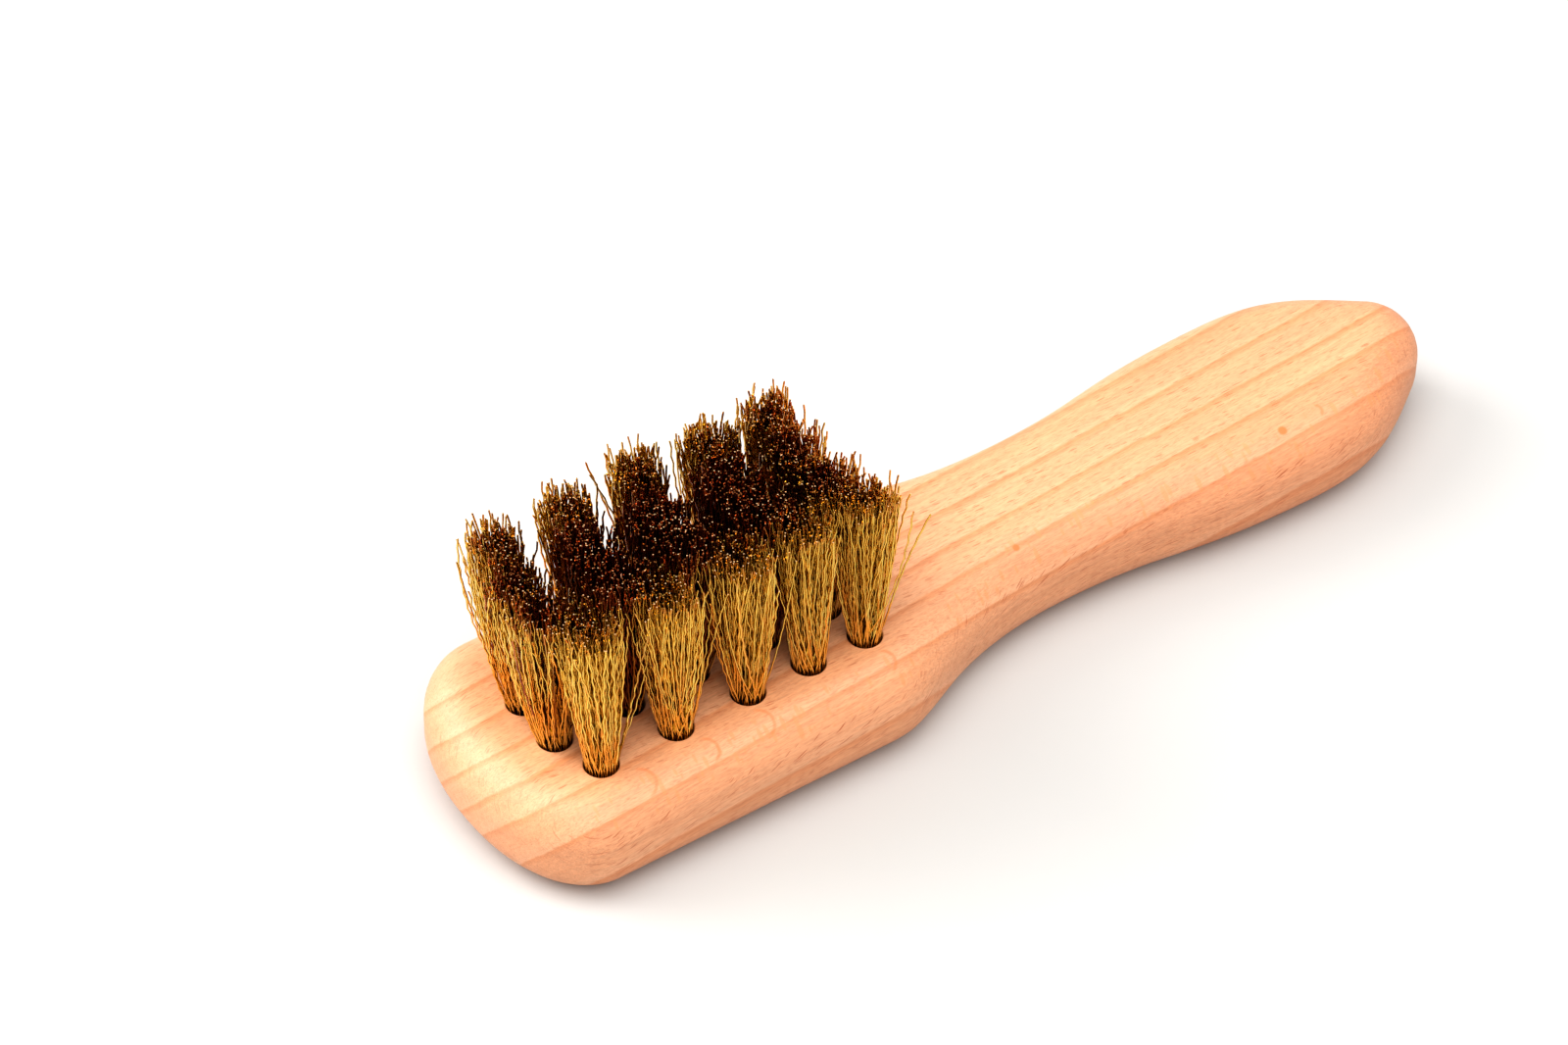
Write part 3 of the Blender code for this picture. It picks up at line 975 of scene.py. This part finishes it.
@dataclass
class WireTufts:
    """Twenty tufts of crimped brass wire, each standing in its hole over an anchor."""

    body: BeechBody
    wires: int = 205
    wire_radius: float = 0.00014
    wire_sides: int = 3
    wire_steps: int = 19
    free_length: float = 0.0220
    hidden_length: float = 0.0021
    mouth_radius: float = 0.00195
    tip_radius: float = 0.0042
    tip_scatter: float = 0.0008
    twist: float = 0.9
    wild_share: float = 0.06
    wild_reach: float = 2.2
    length_scatter: float = 0.0008
    long_wire_share: float = 0.08
    long_wire_extra: float = 0.0010
    bow: float = 0.0005
    crimp: float = 0.0001
    crimp_start: float = 0.3
    crimp_rise: float = 2.0
    crimp_unevenness: Pair = (0.6, 1.3)
    flare: float = 0.75
    height_limit: float = 0.0374
    end_place: float = 0.99
    # How a wire's painted shade grows from its tuft's rim inward, and how much it scatters.
    rim_share: float = 0.26
    rim_contrast: float = 3.0
    shade_scatter: float = 0.18
    # The share of wires whose cut end takes the painted glint.
    bright_share: float = 0.24
    bright_cut: float = 1.0
    dull_cut: float = 0.08
    root_gap: float = 0.0003
    root_recess: float = 0.0016
    root_steps: int = 24
    outer_shares: tuple[float, ...] = (0, 0.28, 0.552, 0.783, 1)
    inner_shares: tuple[float, ...] = (0, 0.264, 0.503, 0.769, 1)
    rows: tuple[RowPlan, ...] = (
        RowPlan(
            Row.NEAR, -0.01002, 0.0137, 0.0382, outer_shares, (-0.0001, 0.0019),
            spread=0.94, shelter=-2.45, end_shelter=-2.3, far_shelter=2.3, deepest=0.7,
        ),
        RowPlan(
            Row.NEAR_MIDDLE, -0.00352, 0.0113, 0.039, inner_shares, (-0.0005, 0.0009), shelter=0.9
        ),
        RowPlan(
            Row.FAR_MIDDLE, 0.00352, 0.0113, 0.039, inner_shares, (-0.0008, 0.0004),
            spread=0.93, shelter=0.9,
        ),
        RowPlan(
            Row.FAR, 0.01002, 0.0137, 0.0382, outer_shares, (-0.0011, 0.0007),
            spread=0.79, drop=0.0004, shelter=-1.3, far_shelter=-1.3, deepest=0.35,
        ),
    )
    tilts: dict[str, Pair] = field(
        default_factory=lambda: {
            "a1": (0.0006, 0.0), "d2": (-0.0007, 0.0002),
            "d3": (-0.0010, 0.0010), "d4": (-0.0003, 0.0),
        }
    )
    strays: dict[str, tuple[Triple, ...]] = field(
        default_factory=lambda: {
            "a1": ((0.0063, -0.0010, 0.0203), (0.0074, 0.0005, 0.0190), (0.0056, -0.0018, 0.0207)),
            "a2": (
                (0.0068, -0.0006, 0.0197), (-0.0064, -0.0012, 0.0196), (0.0060, -0.0016, 0.0204),
            ),
            "a3": ((-0.0062, -0.0011, 0.0200), (0.0058, -0.0013, 0.0205)),
            "a5": ((0.0077, -0.0020, 0.0184), (0.0058, -0.0003, 0.0215)),
            "d1": ((-0.0049, 0.0002, 0.0178),),
            "c1": ((-0.0050, -0.0008, 0.0190),),
        }
    )

    def places(self) -> dict[str, Vector]:
        """Lists the holes.

        Returns:
            Each hole's name and its centre in the top face.
        """
        result: dict[str, Vector] = {}
        for plan in self.rows:
            for number, share in enumerate(plan.shares, start=1):
                along = self.body.head_end + plan.start + share * plan.length
                place = Vector((along, plan.offset, self.body.thickness))
                result[f"{plan.row.value}{number}"] = place
        return result

    def wire_path(self, foot: Vector, tip: Vector, dice: random.Random) -> list[Vector]:
        """Lays one crimped wire.

        Args:
            foot: Where the wire leaves the hole's mouth.
            tip: The wire's free end.
            dice: The source of its unevenness.

        Returns:
            The wire's bends, from its hidden end to its tip.
        """
        rise = tip - foot
        start = foot - Vector((0, 0, self.hidden_length))
        turn = dice.uniform(0, math.tau)
        side = heading(turn)
        sway = Vector((dice.gauss(0, self.bow), dice.gauss(0, self.bow), 0))
        phase = dice.choice((-1, 1))
        path = []
        for step in range(self.wire_steps + 1):
            share = step / self.wire_steps
            height = start.z + share * (tip.z - start.z)
            free = max(0.0, (height - foot.z) / rise.z)
            point = Vector((foot.x, foot.y, height))
            point += Vector((rise.x, rise.y, 0)) * free**self.flare
            # The bow is widest halfway up the free length.
            point += sway * 4 * free * (1 - free)
            swing = self.crimp * min(1.0, self.crimp_start + self.crimp_rise * free)
            swing *= dice.uniform(*self.crimp_unevenness)
            phase = -phase
            path.append(point + side * swing * phase)
        return path

    def paths(self, plan: RowPlan, place: Vector, name: str, dice: random.Random) -> list[Wire]:
        """Lays the wires of a tuft, spread evenly from its middle to its rim.

        Args:
            plan: The tuft's row.
            place: The hole's centre in the top face.
            name: The hole's name.
            dice: The source of the tuft's unevenness.

        Returns:
            The bends of each wire, and how much painted shade it takes from standing deep among the
            others.
        """
        middle = self.body.head_end + plan.start + plan.length / 2
        from_middle = (place.x - middle) / (plan.length / 2)
        shelter = plan.end_shelter if abs(from_middle) > self.end_place else plan.shelter
        lean = Vector((plan.lean[0] + plan.fan * from_middle, plan.lean[1], 0))
        lean += Vector((*self.tilts.get(name, (0, 0)), 0))
        result = []
        for number in range(self.wires):
            radius = math.sqrt((number + 0.5) / self.wires)
            angle = number * GOLDEN_ANGLE
            spread = heading(angle, radius)
            angle += dice.gauss(0, self.twist)
            opened = heading(angle, radius)
            reach = self.tip_scatter * plan.spread
            if dice.random() < self.wild_share:
                reach *= self.wild_reach
            scatter = Vector((dice.gauss(0, reach), dice.gauss(0, reach), 0))
            height = self.free_length - plan.drop + dice.gauss(0, self.length_scatter)
            if dice.random() < self.long_wire_share:
                height += self.long_wire_extra
            tip = place + lean + self.tip_radius * plan.spread * opened + scatter
            tip += Vector((0, 0, height))
            tip.z = min(tip.z, self.height_limit)
            # Painted shade: darker deeper in the tuft, in sheltered rows and toward the sheltered
            # side.
            shade_amount = (1 - radius**2 - self.rim_share) * self.rim_contrast + shelter
            shade_amount = min(plan.deepest, shade_amount + plan.far_shelter * opened.y)
            result.append((self.wire_path(place + self.mouth_radius * spread, tip, dice), shade_amount))
        for reach in self.strays.get(name, ()):
            toward = Vector((reach[0], reach[1], 0)).normalized()
            foot = place + self.mouth_radius * toward
            result.append((self.wire_path(foot, place + Vector(reach), dice), 0.0))
        return result

    def wire_mesh(self, paths: list[Wire], dice: random.Random) -> BMesh:
        """Draws every wire of a tuft out of a small triangle, bend by bend.

        Args:
            paths: The bends of each wire, and how much painted shade it takes.
            dice: The source of each wire's painted shade.

        Returns:
            The closed wires.
        """
        bm = bmesh.new()
        owner = bm.faces.layers.int.new("wire")
        shade = bm.faces.layers.float.new(WireFinish.shade_attribute)
        cut = bm.faces.layers.float.new(WireFinish.cut_attribute)
        for number, (path, shade_amount) in enumerate(paths):
            turn = Matrix.Rotation(dice.uniform(0, math.tau), 4, "Z")
            bmesh.ops.create_circle(
                bm, cap_ends=True, segments=self.wire_sides, radius=self.wire_radius,
                matrix=Matrix.Translation(path[0]) @ turn,
            )
            bm.faces.ensure_lookup_table()
            bm.faces[-1][owner] = number
            # Each wire's painted shade, scattered a little.
            bm.faces[-1][shade] = min(1.0, max(0.0, shade_amount + dice.gauss(0, self.shade_scatter)))
        ends = list(bm.faces)
        for step in range(self.wire_steps):
            ends = bmesh.ops.extrude_discrete_faces(bm, faces=ends)["faces"]
            for face in ends:
                path = paths[face[owner]][0]
                shift = path[step + 1] - path[step]
                for vert in face.verts:
                    vert.co += shift
        rims = [edge for edge in bm.edges if edge.is_boundary]
        bmesh.ops.holes_fill(bm, edges=rims, sides=self.wire_sides)
        bmesh.ops.recalc_face_normals(bm, faces=bm.faces)
        for face in ends:
            # A random share of the cut ends take the painted glint.
            face[cut] = self.bright_cut if dice.random() < self.bright_share else self.dull_cut
            for edge in face.edges:
                edge.smooth = False
        return bm

    def add_root(self, bm: BMesh, place: Vector, name: str) -> None:
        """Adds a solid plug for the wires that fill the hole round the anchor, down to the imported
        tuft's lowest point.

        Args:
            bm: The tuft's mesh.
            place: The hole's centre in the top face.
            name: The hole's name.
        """
        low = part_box(f"brass_tuft_{name}")[0].z
        high = place.z - self.root_recess
        radius = self.body.hole_diameter / 2 - self.root_gap
        bmesh.ops.create_cone(
            bm, cap_ends=True, segments=self.root_steps, radius1=radius, radius2=radius,
            depth=high - low, matrix=Matrix.Translation((place.x, place.y, (low + high) / 2)),
        )

    def build(self, material: Material) -> None:
        """Builds the tufts and puts each in place of its CAD node.

        Args:
            material: The wire's finish.
        """
        places = self.places()
        for plan in self.rows:
            for number in range(1, len(plan.shares) + 1):
                name = f"{plan.row.value}{number}"
                dice = random.Random(f"{SEED} {name}")
                bm = self.wire_mesh(self.paths(plan, places[name], name, dice), dice)
                self.add_root(bm, places[name], name)
                for face in bm.faces:
                    face.smooth = True
                piece = new_piece(f"wire_tuft_{name}", bm, material)
                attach(piece, ROOT_BODY)
                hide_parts(f"brass_tuft_{name}")
                report(piece)


@dataclass
class WireAnchors:
    """The short flat wires that hold the tufts in their holes."""

    names: list[str]

    def dress(self, material: Material) -> None:
        """Gives the anchors' CAD nodes their finish.

        Args:
            material: The steel's finish.
        """
        for name in self.names:
            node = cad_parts[f"anchor_{name}"]
            node.data.materials.clear()
            node.data.materials.append(material)
            report(node)


@dataclass(frozen=True)
class Lamp:
    """A square soft lamp that points at the brush."""

    name: str
    place: Triple
    size: float
    power: float


@dataclass
class Studio:
    """The white floor, the soft light and the camera at the photograph's angle."""

    floor_size: float = 6.0
    world_strength: float = 0.47
    lamps: tuple[Lamp, ...] = (
        Lamp("overhead", (-0.18, -0.40, 1.32), 1.7, 20.5),
        Lamp("window", (-0.75, 0.75, 0.75), 0.9, 7.8),
        Lamp("side", (-0.75, 1.0, 0.55), 0.9, 6.3),
    )
    target: Triple = (-0.00962, 0.02266, 0.0)
    back: Triple = (-0.3978, -0.5708, 0.7182)
    distance: float = 0.7866
    roll: float = math.radians(1.07)
    lens: float = 142.1
    sensor: float = 36.0

    def add_floor(self, material: Material) -> None:
        """Lays the floor under the brush.

        Args:
            material: The floor's finish.
        """
        bm = bmesh.new()
        bmesh.ops.create_grid(bm, x_segments=1, y_segments=1, size=self.floor_size / 2)
        floor = new_piece("floor", bm, material)

    def add_light(self) -> None:
        """Adds the bright surroundings and the large soft lamps."""
        world = bpy.data.worlds.new("studio")
        world.use_nodes = True
        background = world.node_tree.nodes["Background"]
        background.inputs["Color"].default_value = (1, 1, 1, 1)
        background.inputs["Strength"].default_value = self.world_strength
        bpy.context.scene.world = world
        for lamp in self.lamps:
            light = bpy.data.lights.new(lamp.name, "AREA")
            light.shape = "SQUARE"
            light.size = lamp.size
            light.energy = lamp.power
            stand = bpy.data.objects.new(lamp.name, light)
            stand.location = lamp.place
            stand.rotation_euler = (-Vector(lamp.place)).to_track_quat("-Z", "Y").to_euler()
            bpy.context.scene.collection.objects.link(stand)

    def add_camera(self) -> None:
        """Sets the camera where the photograph was taken from."""
        back = Vector(self.back).normalized()
        level = Vector((0, 0, 1)).cross(back).normalized()
        upright = back.cross(level)
        right = math.cos(self.roll) * level + math.sin(self.roll) * upright
        up = back.cross(right)
        data = bpy.data.cameras.new("camera")
        data.lens = self.lens
        data.sensor_width = self.sensor
        camera = bpy.data.objects.new("camera", data)
        turn = Matrix((right, up, back)).transposed().to_4x4()
        camera.matrix_world = Matrix.Translation(Vector(self.target) + self.distance * back) @ turn
        bpy.context.scene.collection.objects.link(camera)
        bpy.context.scene.camera = camera

    def build(self) -> None:
        """Builds the whole studio and sets how bright tones are shown."""
        self.add_floor(FloorFinish().build())
        self.add_light()
        self.add_camera()
        view = bpy.context.scene.view_settings
        view.view_transform = "Standard"
        view.look = "High Contrast"


def main() -> None:
    """Builds the brush's pieces in order."""
    logging.basicConfig(level=logging.INFO, format="%(message)s")
    mottle = mottle_group()
    Studio().build()
    body = BeechBody()
    tufts = WireTufts(body)
    places = tufts.places()
    body.build(places, BeechFinish().build(mottle))
    tufts.build(WireFinish().build(mottle))
    WireAnchors(list(places)).dress(SteelFinish().build(mottle))


if __name__ == "__main__":
    main()
